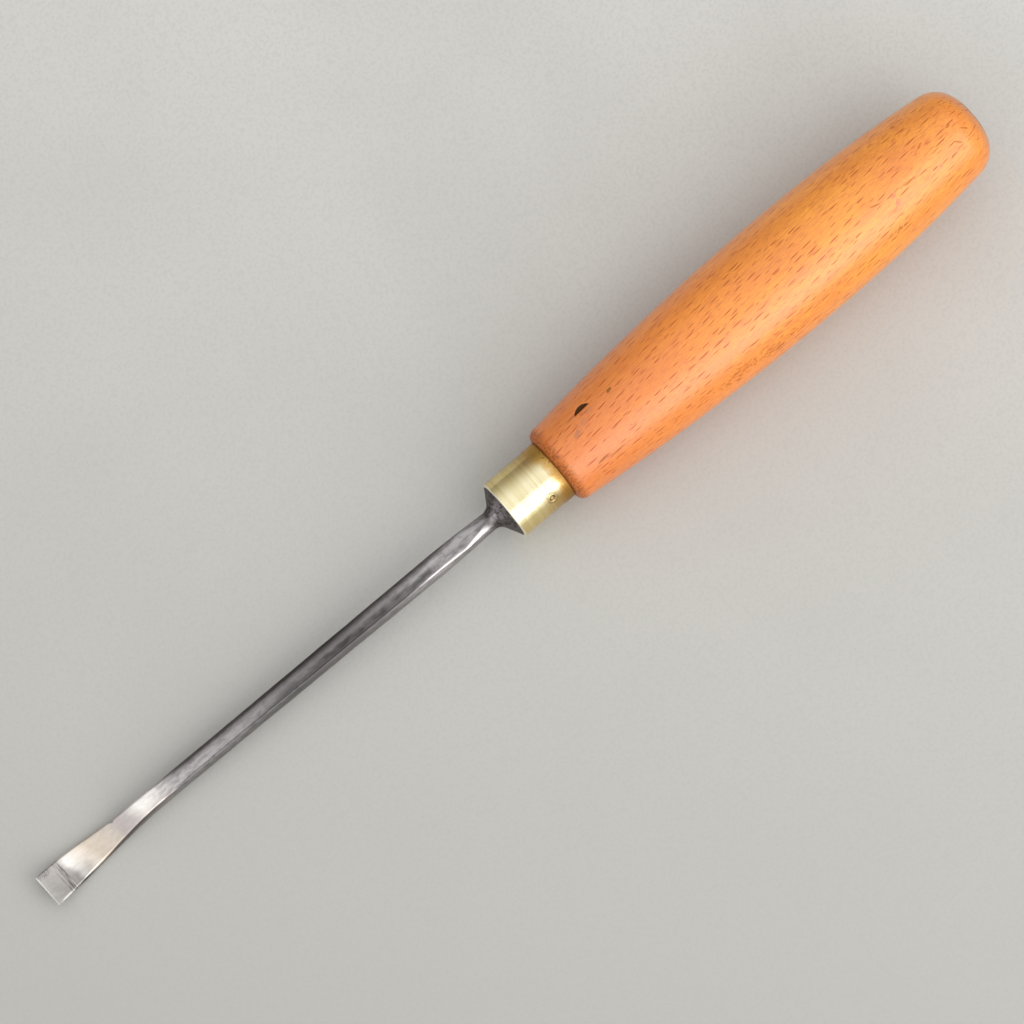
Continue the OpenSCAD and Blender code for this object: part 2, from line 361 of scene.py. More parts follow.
def stake_hollow(x, angles):
    """Punched dish with a flat bottom and a slight lip, in a broad shallow dent."""
    distance = from_stake(x, angles)
    dish = stake_depth * (1 - ease(0.4 * stake_radius, stake_radius, distance))
    dent = 0.16 * np.exp(-(distance / 1.8) ** 2)
    lip = 0.03 * np.exp(-((distance - 1.15 * stake_radius) / 0.15) ** 2)
    return dish + dent - lip


def stake_shade(x, angles):
    """Share of grime: most on the dish's wall and in a ring round it."""
    distance = from_stake(x, angles)
    wall = 0.6 * np.exp(-((distance - 0.65 * stake_radius) / 0.22) ** 2)
    ring = 0.4 * np.exp(-((distance - 1.4 * stake_radius) / 0.3) ** 2)
    return wall + ring


def turning_lines(x):
    """Depth of the scored rings that the lathe tool left in front of the stake mark."""
    spacing = 0.5
    half_depth = 0.014
    first_x = -8.9
    last_x = -5.6
    scored = ease(first_x, first_x + 0.5, x) * (1 - ease(last_x - 0.6, last_x, x))
    return half_depth * scored * (1 + np.cos(2 * math.pi * x / spacing))


def build_ferrule():
    outline = ferrule_outline()
    angles = closer_near(stake_angle, math.radians(12), math.radians(1.4), math.radians(0.5))
    x, radius = outline[:, :1], outline[:, 1:]
    outside = (radius > ferrule_radius - 1e-6) * 1.0
    inward = outside * (stake_hollow(x, angles) + turning_lines(x))
    grime = outside * stake_shade(x, angles)
    rings = around_axis(outline, angles, inward)
    return skin("brass_ferrule", rings, looped=True, sharp_angle=50, grime=grime)


# Blade shape along the tool

def blade_width(x):
    if x < shank_swell_at:
        shank = mix(2 * neck_radius, shank_swell_width, ease(neck_x, shank_swell_at, x))
    else:
        shank = mix(shank_swell_width, shank_end_width, share(shank_swell_at, bend_x, x))
    return shank + (edge_width - shank_end_width) * ease(bend_x, blade_reach, x)


def blade_thickness(x):
    if x < bend_x:
        return mix(2 * neck_radius, shank_end_thickness, share(neck_x, bend_x, x))
    if x < crease_x:
        return mix(shank_end_thickness, bowl_thickness, ease(bend_x, low_x, x))
    return mix(bowl_thickness, edge_thickness, share(crease_x, blade_reach, x))


def blade_offset(x):
    shank = mix(neck_offset, spoon_offset, share(neck_x, bend_x, x))
    return -mix(shank, edge_offset, share(low_x, blade_reach, x) ** 2)


def top_slope(x):
    if x < bend_x:
        return 0.0
    if x < turn_x:
        return -math.asin((x - bend_x) / dive_radius)
    if x < crease_x:
        return math.asin((x - low_x) / bowl_radius)
    return facet_angle


def top_height(x):
    if x < bend_x:
        return blade_thickness(x) / 2
    if x < turn_x:
        return shank_end_thickness / 2 - dive_radius + other_leg(dive_radius, x - bend_x)
    if x < crease_x:
        return low_z + bowl_radius - other_leg(bowl_radius, x - low_x)
    return crease_z + (x - crease_x) * math.tan(facet_angle)


# Blade sections, given by places sideways and up from the section's middle

OCTAGON_CHAMFER = 2 - math.sqrt(2)
OCTAGON_EASING = math.sqrt(2) - 1
CORNER_STEPS = 5
SIDE_STEPS = [1, 2, 1, 8, 1, 2, 1, 8]


def rounded_ring(corners, easing):
    """Ring of points round eight corners, each corner eased off over the given length of its sides."""
    corners = np.array(corners, float)
    to_next = np.roll(corners, -1, axis=0) - corners
    lengths = np.linalg.norm(to_next, axis=1)
    forward = to_next / lengths[:, None]
    half_side = lengths * 0.5
    leave = corners + forward * np.minimum(easing, half_side)[:, None]
    next_arrive = corners + to_next - forward * np.minimum(np.roll(easing, -1), half_side)[:, None]
    arrive = np.roll(next_arrive, 1, axis=0)
    ring = []
    for i in range(8):
        for part in np.linspace(0, 1, CORNER_STEPS):
            inward = mix(arrive[i], corners[i], part)
            outward = mix(corners[i], leave[i], part)
            ring.append(mix(inward, outward, part))
        for j in range(SIDE_STEPS[i]):
            ring.append(mix(leave[i], arrive[(i + 1) % 8], (j + 1) / (SIDE_STEPS[i] + 1)))
    return np.array(ring)


def eight_corners(width, thickness, top_right, top_left, back):
    """Corners clockwise from the top's right end; each chamfer is given as its width across and its drop."""
    half, top = width / 2, thickness / 2
    return [
        [half - top_right[0], top], [half, top - top_right[1]],
        [half, back[1] - top], [half - back[0], -top],
        [back[0] - half, -top], [-half, back[1] - top],
        [-half, top - top_left[1]], [top_left[0] - half, top]]


def round_ring(radius):
    chamfer = [radius * OCTAGON_CHAMFER] * 2
    corners = eight_corners(2 * radius, 2 * radius, chamfer, chamfer, chamfer)
    return rounded_ring(corners, np.full(8, radius * OCTAGON_EASING))


def tang_ring(width):
    chamfer = [tang_chamfer] * 2
    return rounded_ring(eight_corners(width, width, chamfer, chamfer, chamfer), np.full(8, 0.05))


def blade_chamfers(x):
    """Width and drop of the chamfers at the top's right end, the top's left end and both back edges."""
    thickness = blade_thickness(x)
    neck = np.array([1, 1]) * neck_radius * OCTAGON_CHAMFER
    squared = ease(neck_x, shank_swell_at - 7, x)
    spoon = ease(bend_x - 20, bend_x + 3, x)
    facet = ease(crease_x - 1.2, crease_x + 0.4, x)
    right_width = mix(0.4, 0.9, ease(11, 21, x))
    flank_width = mix(0.55, 0.3, ease(low_x + 2, crease_x, x))
    right = mix(mix(neck, np.array([right_width, 1.0]), squared), np.array([flank_width, 0.9]), spoon)
    right = mix(right, np.array([0.55, 0.3]), facet)
    left_width = mix(0.4, 0.8, ease(40, 66, x))
    left = mix(mix(neck, np.array([left_width, 0.6]), squared), np.array([0.3, 0.4]), spoon)
    back = mix(mix(neck, np.full(2, shank_chamfer), squared), np.full(2, spoon_chamfer), spoon)
    limit = np.array([edge_width, 0.4 * thickness])
    return np.minimum(right, limit), np.minimum(left, limit), np.minimum(back, limit)


def blade_easing(x):
    """Length over which each corner is eased off: wide at the neck, crisp along the shank and spoon."""
    neck = neck_radius * OCTAGON_EASING
    squared = ease(neck_x, shank_swell_at, x)
    arris = np.interp(x, [neck_x, 13, 22, 36], [neck, 0.45, 0.28, 0.25])
    crisp = mix(neck, 0.16, squared)
    easing = np.array([arris, crisp, crisp, crisp, crisp, crisp, crisp, mix(neck, 0.3, squared)])
    return np.minimum(easing, 0.3 * blade_thickness(x))


def blade_section(x):
    width, thickness = blade_width(x), blade_thickness(x)
    ring = rounded_ring(eight_corners(width, thickness, *blade_chamfers(x)), blade_easing(x))
    spread = (2 * ring[:, 0] / width) ** 2
    rise = sweep_rise * ease(turn_x, blade_reach, x)
    back_rise = rise * ease(flat_back_x, blade_reach, x)
    ring[:, 1] += np.where(ring[:, 1] > 0, rise, back_rise) * spread
    crown = 0.22 * ease(neck_x, shank_swell_at, x) * (1 - ease(bend_x - 12, bend_x + 4, x))
    ring[:, 1] -= crown * spread * (ring[:, 1] > 0)
    return ring


def lean(ring, x):
    """Places a blade section with its top's middle on the profile and its plane square to the slope."""
    slope = top_slope(x)
    side = ring[:, 0]
    down = ring[:, 1] - blade_thickness(x) / 2
    skewed = share(crease_x, blade_reach, x)
    ahead = -side * math.tan(edge_skew) * skewed
    return np.column_stack([
        x + ahead * math.cos(slope) - down * math.sin(slope),
        blade_offset(x) + side,
        top_height(x) + ahead * math.sin(slope) + down * math.cos(slope)])


def upright(ring, x, y=0.0):
    return np.column_stack([np.full(len(ring), x), ring[:, 0] + y, ring[:, 1]])


def flare_outline():
    """Places along and radii of the bolster's flare: a cone from the rim, eased into the neck by a fillet."""
    lowest = -math.pi / 2
    fillet = arc([neck_x, neck_radius + flare_fillet], flare_fillet, lowest - flare_angle, lowest, 18)
    cone = np.linspace([bolster_rim, bolster_radius], fillet[0], 16)
    return np.concatenate([cone[:-1], fillet])


def blade_rings():
    rings = [upright(tang_ring(mix(tang_point_width, tang_width, part)), -tang_length * (1 - part))
             for part in np.linspace(0, 1, 12)]
    rings += [upright(round_ring(mix(tang_width / 2, bolster_radius, part)), 0) for part in (0.4, 0.7, 0.97)]
    rings += [upright(round_ring(bolster_radius), x) for x in (0.06, bolster_rim * 0.6)]
    for x, radius in flare_outline():
        rings.append(upright(round_ring(radius), x, -neck_offset * (bolster_radius - radius) / flare_drop))
    stations = np.concatenate([
        np.linspace(neck_x, bend_x, 300)[1:],
        np.linspace(bend_x, crease_x, 130)[1:],
        np.linspace(crease_x, blade_reach, 34)[1:]])
    rings += [lean(blade_section(x), x) for x in stations]
    return np.array(rings)


def forge_marks(point):
    """Distance by which the hammer and the file left a place below the true shape."""
    x, y, z = point
    if x <= bolster_rim or x > crease_x:
        return 0.0
    on_spoon = float(ease(bend_x - 8, bend_x + 6, x))
    on_bolster = float(ease(0.2, 1.2, x)) * (1 - float(ease(neck_x - 0.5, neck_x + 4, x)))
    broad = noise.noise(Vector((x / 7, y / 3, z / 3)))
    planished = broad + 0.5 * noise.noise(Vector((x / 2.2, y / 1.4, z / 1.4)))
    scaled = noise.fractal(Vector((x / 1.1, y / 1.3, z / 1.3)), 0.8, 2.0, 3)
    waves = noise.noise(Vector((x / 3.1, y / 4, 5.5)))
    hammer_marks = 0.05 * (1 - on_spoon) * (planished + 0.6)
    scale_marks = 0.08 * on_bolster * (scaled + 0.5)
    file_marks = 0.012 * on_spoon * (waves + 1)
    return max(0.0, hammer_marks + scale_marks + file_marks)


def worn(rings):
    """Rings with forging marks pressed in towards their middles and a nick in the spoon's left edge."""
    middles = rings.mean(axis=1, keepdims=True)
    inward = middles - rings
    inward /= np.linalg.norm(inward, axis=2, keepdims=True)
    marks = np.array([[forge_marks(point) for point in ring] for ring in rings])
    nicked = notch_depth * np.exp(-((rings[:, :, 0] - notch_x) / notch_half_length) ** 2)
    sideways = middles[:, :, 1] - rings[:, :, 1]
    left = ease(0.7, 0.98, sideways / np.abs(sideways).max(axis=1, keepdims=True))
    rings = rings + inward * marks[:, :, None]
    rings[:, :, 1] += nicked * left
    return rings


def build_blade():
    return skin("spoon_blade", worn(blade_rings()), sharp_angle=60)


# Materials

def rgb(red, green, blue):
    """Colour from screen values of 0 to 255."""
    screen = np.array([red, green, blue]) / 255
    linear = np.where(screen <= 0.04045, screen / 12.92, ((screen + 0.055) / 1.055) ** 2.4)
    return (*linear.tolist(), 1.0)


class Graph:
    """Nodes of a material or the world. Each call adds nodes and returns a socket for later calls."""

    def __init__(self, owner):
        self.owner = owner
        owner.use_nodes = True
        self.tree = owner.node_tree
        self.tree.nodes.clear()

    def node(self, kind, inputs, **settings):
        node = self.tree.nodes.new(kind)
        for key, value in settings.items():
            setattr(node, key, value)
        for key, value in inputs.items():
            if isinstance(value, bpy.types.NodeSocket):
                self.tree.links.new(value, node.inputs[key])
            else:
                node.inputs[key].default_value = value
        return node

    @cached_property
    def tool(self):
        """Coordinates of the tool in millimetres."""
        place = {
            "Vector": self.node("ShaderNodeTexCoord", {}).outputs["Object"],
            "Location": ferrule_front,
            "Rotation": (0, rest_tilt, 0),
            "Scale": (MM, MM, MM)}
        return self.node("ShaderNodeMapping", place, vector_type="TEXTURE").outputs[0]

    @cached_property
    def axes(self):
        return self.node("ShaderNodeSeparateXYZ", {0: self.tool}).outputs

    @cached_property
    def angle(self):
        """Angle round the tool's axis, from the top towards +y."""
        return self.math("ARCTAN2", self.axes["Y"], self.axes["Z"])

    @cached_property
    def facing(self):
        """Direction that the surface faces, in parts along the frame's axes."""
        normal = self.node("ShaderNodeNewGeometry", {}).outputs["Normal"]
        return self.node("ShaderNodeSeparateXYZ", {0: normal}).outputs

    def turned(self, angle):
        """Coordinates of the tool turned about its upright direction."""
        place = {"Vector": self.tool, "Rotation": (0, 0, angle)}
        return self.node("ShaderNodeMapping", place, vector_type="TEXTURE").outputs[0]

    def mark(self, name):
        """Numbers that skin() stored with the mesh."""
        return self.node("ShaderNodeAttribute", {}, attribute_name=name).outputs["Fac"]

    def vector(self, operation, a, b=(0, 0, 0), c=(0, 0, 0), output="Vector"):
        return self.node("ShaderNodeVectorMath", {0: a, 1: b, 2: c}, operation=operation).outputs[output]

    def math(self, operation, a, b=0.0, c=0.0):
        return self.node("ShaderNodeMath", {0: a, 1: b, 2: c}, operation=operation).outputs[0]

    def times(self, *values):
        return reduce(lambda a, b: self.math("MULTIPLY", a, b), values)

    def plus(self, *values):
        return reduce(lambda a, b: self.math("ADD", a, b), values)

    def most(self, *values):
        return reduce(lambda a, b: self.math("MAXIMUM", a, b), values)

    def length(self, a, b):
        both = self.node("ShaderNodeCombineXYZ", {0: a, 1: b}).outputs[0]
        return self.vector("LENGTH", both, output="Value")

    def place(self, sizes, shift=(0, 0, 0), base=None):
        """Coordinates counted in steps of the given sizes."""
        return self.vector("MULTIPLY_ADD", base or self.tool, tuple(1 / size for size in sizes), shift)

    def noise(self, sizes, detail=2.0, rough=0.5, shift=(0, 0, 0), base=None):
        place = self.place(sizes, shift, base)
        inputs = {"Vector": place, "Scale": 1.0, "Detail": detail, "Roughness": rough}
        return self.node("ShaderNodeTexNoise", inputs).outputs[0]

    def fit(self, value, low, high, to_low=0.0, to_high=1.0):
        """Smooth step from to_low, where value is low, to to_high, where it is high."""
        inputs = {0: value, 1: low, 2: high, 3: to_low, 4: to_high}
        return self.node("ShaderNodeMapRange", inputs, interpolation_type="SMOOTHSTEP").outputs[0]

    def span(self, value, low, high, soft):
        """1 between two values, fading to 0 outside them."""
        rising = self.fit(value, low - soft, low + soft)
        return self.times(rising, self.fit(value, high - soft, high + soft, 1.0, 0.0))

    def mix(self, part, a, b, blend="MIX"):
        inputs = {0: part, 6: a, 7: b}
        return self.node("ShaderNodeMix", inputs, data_type="RGBA", blend_type=blend).outputs[2]

    def ramp(self, value, stops):
        """Colour that runs through the given colours at the given values."""
        low, high = stops[0][0], stops[-1][0]
        part = self.node("ShaderNodeMapRange", {0: value, 1: low, 2: high}).outputs[0]
        ramp = self.node("ShaderNodeValToRGB", {0: part})
        elements = ramp.color_ramp.elements
        elements[0].color, elements[1].color = stops[0][1], stops[-1][1]
        for place, colour in stops[1:-1]:
            elements.new((place - low) / (high - low)).color = colour
        return ramp.outputs[0]

    def spot(self, x, degrees, radius, half_length, half_width, slant=0.0, ragged=0.0):
        """1 in the middle of a mark on a round surface, fading to 0 at its edge."""
        along = self.math("SUBTRACT", self.axes["X"], x)
        turn = self.math("SUBTRACT", self.angle, math.radians(degrees))
        across = self.math("MULTIPLY_ADD", along, -slant, self.times(turn, radius))
        distance = self.length(self.times(along, 1 / half_length), self.times(across, 1 / half_width))
        return self.fit(self.plus(distance, ragged), 1.0, 0.4)

    def bump(self, height, depth, strength=1.0):
        inputs = {"Height": height, "Strength": strength, "Distance": depth * MM}
        return self.node("ShaderNodeBump", inputs).outputs[0]

    def finish(self, **inputs):
        named = {key.replace("_", " "): value for key, value in inputs.items()}
        shader = self.node("ShaderNodeBsdfPrincipled", named)
        self.node("ShaderNodeOutputMaterial", {"Surface": shader.outputs[0]})
        return self.owner


# Beech

grain_slant = math.radians(5)
pith = (0, 16, -48)


def growth_rings(g, grain):
    """Light and dark of the yearly rings round a pith that lies outside the handle."""
    from_pith = g.vector("MULTIPLY", g.vector("SUBTRACT", grain, pith), (0, 1, 1))
    distance = g.vector("LENGTH", from_pith, output="Value")
    wavering = g.math("MULTIPLY_ADD", g.noise((40, 9, 9), base=grain), 2.5, distance)
    ring_width = 2.3
    return g.math("SINE", g.times(wavering, 2 * math.pi / ring_width))


def ray_flecks(g, grain, cell, half_length, half_width, kept, shift):
    """Dark ends of the wood's rays: a spindle in the kept share of the cells that fill the wood."""
    inside_cell = g.place(cell, shift, grain)
    cells = g.node("ShaderNodeTexVoronoi", {"Vector": inside_cell, "Scale": 1.0, "Randomness": 0.85})
    away = g.vector("MULTIPLY", g.vector("SUBTRACT", inside_cell, cells.outputs["Position"]), cell)
    outward = g.vector("NORMALIZE", g.vector("MULTIPLY", g.tool, (0, 1, 1)))
    sideways = g.vector("CROSS_PRODUCT", outward, (1, 0, 0))
    across = g.vector("DOT_PRODUCT", away, sideways, output="Value")
    along = g.node("ShaderNodeSeparateXYZ", {0: away}).outputs["X"]
    chance = g.node("ShaderNodeSeparateColor", {0: cells.outputs["Color"]}).outputs
    reach = g.math("MULTIPLY_ADD", chance[0], 0.6, 0.55)
    distance = g.length(g.times(along, 1 / half_length), g.times(across, 1 / half_width))
    spindle = g.fit(g.math("DIVIDE", distance, reach), 1.2, 0.5)
    strength = g.fit(chance[1], 1 - kept, 1.3 - kept)
    return g.times(spindle, strength)


def barrel_spot(g, x, degrees, half_length, half_width, slant=0.0, ragged=0.0):
    return g.spot(x, degrees, float(barrel_radius(x)), half_length, half_width, slant, ragged)


def shoulder_grime(g, wood, ragged):
    """Wood darkened and spotted by the dirt that gathers on the rounded shoulder."""
    rim = g.plus(g.axes["X"], g.times(ragged, 0.8))
    specks = g.noise((0.7, 0.55, 0.55), detail=3.0, shift=(1, 9, 4))
    wood = g.mix(g.fit(rim, shoulder_x - 3.2, shoulder_x - 0.9, 0.0, 0.5), wood, rgb(160, 88, 48))
    dirty = g.fit(rim, shoulder_x - 2.8, shoulder_x - 0.6)
    wood = g.mix(g.times(dirty, g.fit(specks, 0.42, 0.66), 0.6), wood, rgb(92, 54, 34))
    return g.mix(g.times(dirty, g.fit(specks, 0.46, 0.34), 0.4), wood, rgb(176, 124, 100))


def beech_stains(g, wood, ragged):
    """Wood with the stains and knocks of the handle, the chip's hollow painted dark, and how far they broke
    the shellac.
    """
    grey_stains = g.most(
        barrel_spot(g, -23.9, -5, 1.7, 0.8, ragged=ragged),
        g.times(barrel_spot(g, -26.5, -12, 2.0, 1.4, ragged=ragged), 0.5),
        g.times(barrel_spot(g, -29.4, -19, 2.0, 1.2, ragged=ragged), 0.5))
    wood = g.mix(g.times(grey_stains, 0.4), wood, rgb(116, 80, 64))
    speckled = g.fit(g.noise((1.6, 0.35, 0.35), detail=3.0, shift=(4, 4, 9)), 0.4, 0.58)
    smeared = g.most(
        barrel_spot(g, -62.5, 62, 7.0, 2.0, slant=0.06, ragged=ragged),
        barrel_spot(g, -73.0, 66, 8.0, 1.4, slant=0.04, ragged=ragged))
    smear = g.times(smeared, speckled)
    wood = g.mix(g.times(smear, 0.5), wood, rgb(134, 76, 42))
    streaks = g.most(
        barrel_spot(g, -25.0, 40, 2.4, 0.5, slant=0.15),
        g.times(barrel_spot(g, -28.6, 43, 3.4, 0.4, slant=0.1), 0.8),
        g.times(barrel_spot(g, -112.8, 52, 3.4, 0.6, slant=-0.08, ragged=ragged), 0.9))
    wood = g.mix(g.times(streaks, 0.6), wood, rgb(132, 70, 38))
    red_spots = g.most(
        barrel_spot(g, -115.9, 19.5, 0.9, 0.7, ragged=ragged),
        barrel_spot(g, -115.9, 27.5, 1.0, 0.8, ragged=ragged),
        barrel_spot(g, -129.5, 30, 0.7, 0.6, ragged=ragged))
    wood = g.mix(g.times(red_spots, 0.6), wood, rgb(214, 84, 40))
    knocks = g.most(
        barrel_spot(g, -111.0, 15, 1.9, 0.35, slant=-0.3),
        barrel_spot(g, -120.7, 19, 2.6, 0.45, slant=-0.05, ragged=g.times(ragged, 0.5)),
        barrel_spot(g, -127.1, -42, 0.8, 0.6),
        barrel_spot(g, -128.1, -2, 1.6, 0.35, slant=0.4, ragged=g.times(ragged, 0.5)),
        barrel_spot(g, -136.2, 22, 1.1, 0.4, slant=-1.0),
        barrel_spot(g, -136.7, 0, 1.0, 0.45, ragged=g.times(ragged, 0.5)),
        barrel_spot(g, -139.4, 14, 1.2, 0.4, slant=-0.9))
    wood = g.mix(g.times(knocks, 0.5), wood, rgb(150, 70, 36))
    green_spot = barrel_spot(g, -36.1, -19.5, 1.2, 0.6, ragged=g.times(ragged, 0.4))
    wood = g.mix(g.times(green_spot, 0.7), wood, rgb(100, 66, 14))
    red_tail = barrel_spot(g, chip_x + 3.2, math.degrees(chip_angle) + 2, 2.0, 0.45)
    wood = g.mix(g.times(red_tail, 0.6), wood, rgb(160, 70, 28))
    # The chip's hollow is painted dark brown: dirty bare wood, and painted shade in the hollow.
    chip = g.fit(g.mark("chip"), 0.0, 0.4)
    wood = g.mix(chip, wood, rgb(82, 48, 18))
    part_broken = g.times(g.most(knocks, green_spot, streaks, smear), 0.6)
    return wood, g.most(chip, part_broken)


def clean_beech(g, blotches, rings, fibres, pores, flecks):
    """Colour of the wood without stains, redder towards the ferrule."""
    wood = g.ramp(g.axes["X"], [
        (butt_x, rgb(250, 154, 30)),
        (-100, rgb(255, 162, 26)),
        (-60, rgb(250, 147, 24)),
        (-25, rgb(226, 127, 28))])
    wood = g.mix(g.fit(blotches, 0.6, 0.3, 0.0, 0.35), wood, rgb(226, 122, 30))
    wood = g.mix(g.fit(rings, -1.0, 1.0, 0.0, 0.25), wood, rgb(228, 122, 28))
    wood = g.mix(g.fit(fibres, 0.42, 0.72, 0.0, 0.6), wood, rgb(206, 98, 20))
    wood = g.mix(g.fit(pores, 0.5, 0.7, 0.0, 0.5), wood, rgb(200, 92, 16))
    return g.mix(g.times(flecks, 0.85), wood, rgb(176, 70, 12))


def butt_end(g, wood, fibres):
    """Wood darkened towards the butt and on its end's rim, as darker end grain and as painted shade where the
    end turns away from the light, and how much of that rim has lost the shellac.
    """
    wood = g.mix(g.fit(g.axes["X"], butt_x + 4.5, butt_x + 1.0, 0.0, 0.4), wood, rgb(170, 96, 46))
    endwise = g.facing["X"]
    # Painted shade on the end's rim where it turns away from the light, together with darker end grain.
    rim = g.times(g.fit(endwise, -0.86, -0.95), g.fit(endwise, -0.999, -0.965, 0.35, 1.0))
    wood = g.mix(g.times(rim, g.fit(fibres, 0.3, 0.7, 0.6, 0.9)), wood, rgb(116, 66, 30))
    return wood, rim


def beech():
    g = Graph(bpy.data.materials.new("beech_shellac"))
    grain = g.turned(grain_slant)
    rings = growth_rings(g, grain)
    fibres = g.noise((5, 0.24, 0.24), detail=3.0, shift=(3, 1, 7), base=grain)
    pores = g.noise((1.6, 0.16, 0.16), detail=2.0, shift=(1, 6, 2), base=grain)
    blotches = g.noise((24, 7, 7), detail=3.0, shift=(9, 4, 2), base=grain)
    long_flecks = ray_flecks(g, grain, (5.0, 1.9, 1.9), 1.8, 0.17, 0.85, (0.2, 0.4, 0.6))
    short_flecks = ray_flecks(g, grain, (4.1, 1.6, 1.6), 1.1, 0.15, 0.55, (5.1, 2.7, 1.3))
    flecks = g.most(long_flecks, g.times(short_flecks, 0.7))
    ragged = g.math("MULTIPLY_ADD", g.noise((0.9, 0.7, 0.7), detail=3.0, shift=(7, 3, 1)), 3.6, -1.8)
    wood = clean_beech(g, blotches, rings, fibres, pores, flecks)
    wood = shoulder_grime(g, wood, ragged)
    wood, broken = beech_stains(g, wood, ragged)
    wood, end_rim_grain_and_shade = butt_end(g, wood, fibres)
    bare = g.most(
        broken,
        g.times(flecks, 0.5),
        g.times(end_rim_grain_and_shade, 0.9),
        g.fit(g.axes["X"], shoulder_x - 3.0, shoulder_x - 0.8, 0.0, 0.8))
    height = g.plus(g.times(fibres, 0.5), g.times(pores, 0.4), g.times(flecks, -0.6))
    normal = g.bump(height, 0.05, 0.6)
    roughness = g.fit(blotches, 0.3, 0.7, 0.38, 0.48)
    return g.finish(Base_Color=wood, Roughness=roughness, Specular_IOR_Level=0.1, Normal=normal,
                    Coat_Weight=g.math("SUBTRACT", 1.0, bare), Coat_Roughness=0.33, Coat_IOR=1.8,
                    Coat_Normal=normal)


# Brass

def brass():
    g = Graph(bpy.data.materials.new("turned_brass"))
    x = g.axes["X"]
    fine_lines = g.noise((0.16, 60, 60), detail=3.0)
    broad_lines = g.noise((1.1, 40, 40), shift=(4, 0, 0))
    cloud = g.noise((2.2, 2.6, 2.6), detail=4.0, rough=0.6)
    # Painted highlight: the top strip round this angle stays paler and whiter, and the sides are tinted
    # yellower.
    painted_highlight_angle = 0.25
    from_painted_highlight = g.math("ABSOLUTE", g.plus(g.angle, -painted_highlight_angle))
    sides = g.fit(from_painted_highlight, 0.3, 0.85)
    metal = g.mix(g.fit(broad_lines, 0.35, 0.65), rgb(222, 210, 167), rgb(234, 224, 189))
    metal = g.mix(sides, metal, (1.0, 0.9, 0.66, 1), "MULTIPLY")
    # Sides darker and browner towards the back: tarnish there, and painted shade on the sides.
    metal = g.mix(g.times(sides, g.fit(x, -4, -14)), metal, (0.62, 0.47, 0.35, 1), "MULTIPLY")
    metal = g.mix(g.fit(fine_lines, 0.45, 0.75, 0.0, 0.4), metal, rgb(208, 187, 124))
    back = g.math("MULTIPLY_ADD", cloud, 3.4, g.math("MULTIPLY_ADD", sides, -0.8, x))
    tarnish = g.fit(back, -10.0, -12.8)
    metal = g.mix(g.times(tarnish, 0.9), metal, rgb(202, 154, 74))
    # Painted shade: the tarnish is darkened towards +y, where the lamps' reflection falls, to dim the
    # highlight there.
    metal = g.mix(g.times(tarnish, g.fit(g.angle, 0.05, 0.4)), metal, (0.68, 0.64, 0.6, 1), "MULTIPLY")
    pits = g.fit(g.noise((0.4, 0.45, 0.45), detail=3.0, shift=(2, 8, 5)), 0.56, 0.66)
    seam = g.math("MULTIPLY_ADD", cloud, 2.4, x)
    metal = g.mix(g.times(pits, g.fit(seam, -11.6, -13.4), 0.8), metal, rgb(124, 84, 42))
    metal = g.mix(g.fit(seam, -13.2, -14.4, 0.0, 0.75), metal, rgb(140, 98, 50))
    olive = g.spot(-14.6, -40, ferrule_radius, 3.4, 4.0, ragged=g.plus(cloud, -0.5))
    metal = g.mix(g.times(olive, 0.3), metal, rgb(124, 98, 44))
    # Painted highlight: the front rim is painted nearly white.
    metal = g.mix(g.fit(x, -0.5, -0.25, 0.0, 0.8), metal, rgb(255, 250, 228))
    metal = g.mix(g.mark("grime"), metal, rgb(110, 88, 42))
    normal = g.bump(g.plus(fine_lines, g.times(broad_lines, 0.6)), 0.012, 0.4)
    roughness = g.math("MULTIPLY_ADD", tarnish, 0.24, g.fit(broad_lines, 0.3, 0.7, 0.14, 0.2))
    return g.finish(Base_Color=metal, Metallic=1.0, Roughness=roughness, Normal=normal)


# Steel: ranges along x and across, read from the photograph, are in millimetres of the tool

def steel_tones(g, along):
    """Tone of the blade's top from the neck to the cutting edge: patina along the shank, and over the spoon
    painted highlights where its bends face the light, with painted shade between them.
    """
    return g.ramp(along, [
        (neck_x, rgb(161, 157, 157)),
        (shank_swell_at, rgb(177, 172, 172)),
        (32, rgb(143, 139, 138)),
        (50, rgb(117, 112, 112)),
        (70, rgb(146, 142, 142)),
        (90, rgb(172, 168, 167)),
        (bend_x - 5, rgb(182, 179, 178)),
        (bend_x - 1, rgb(226, 221, 217)),
        (bend_x + 4, rgb(250, 246, 241)),
        (bend_x + 7, rgb(206, 198, 194)),
        (turn_x + 1.5, rgb(196, 186, 183)),
        (turn_x + 3, rgb(208, 198, 187)),
        (low_x, rgb(210, 197, 181)),
        (low_x + 2, rgb(232, 220, 206)),
        (low_x + 6.3, rgb(250, 246, 240)),
        (crease_x - 1.3, rgb(190, 185, 180)),
        (crease_x + 0.5, rgb(188, 183, 178)),
        (blade_reach - 2, rgb(180, 176, 172)),
        (blade_reach, rgb(192, 189, 184))])


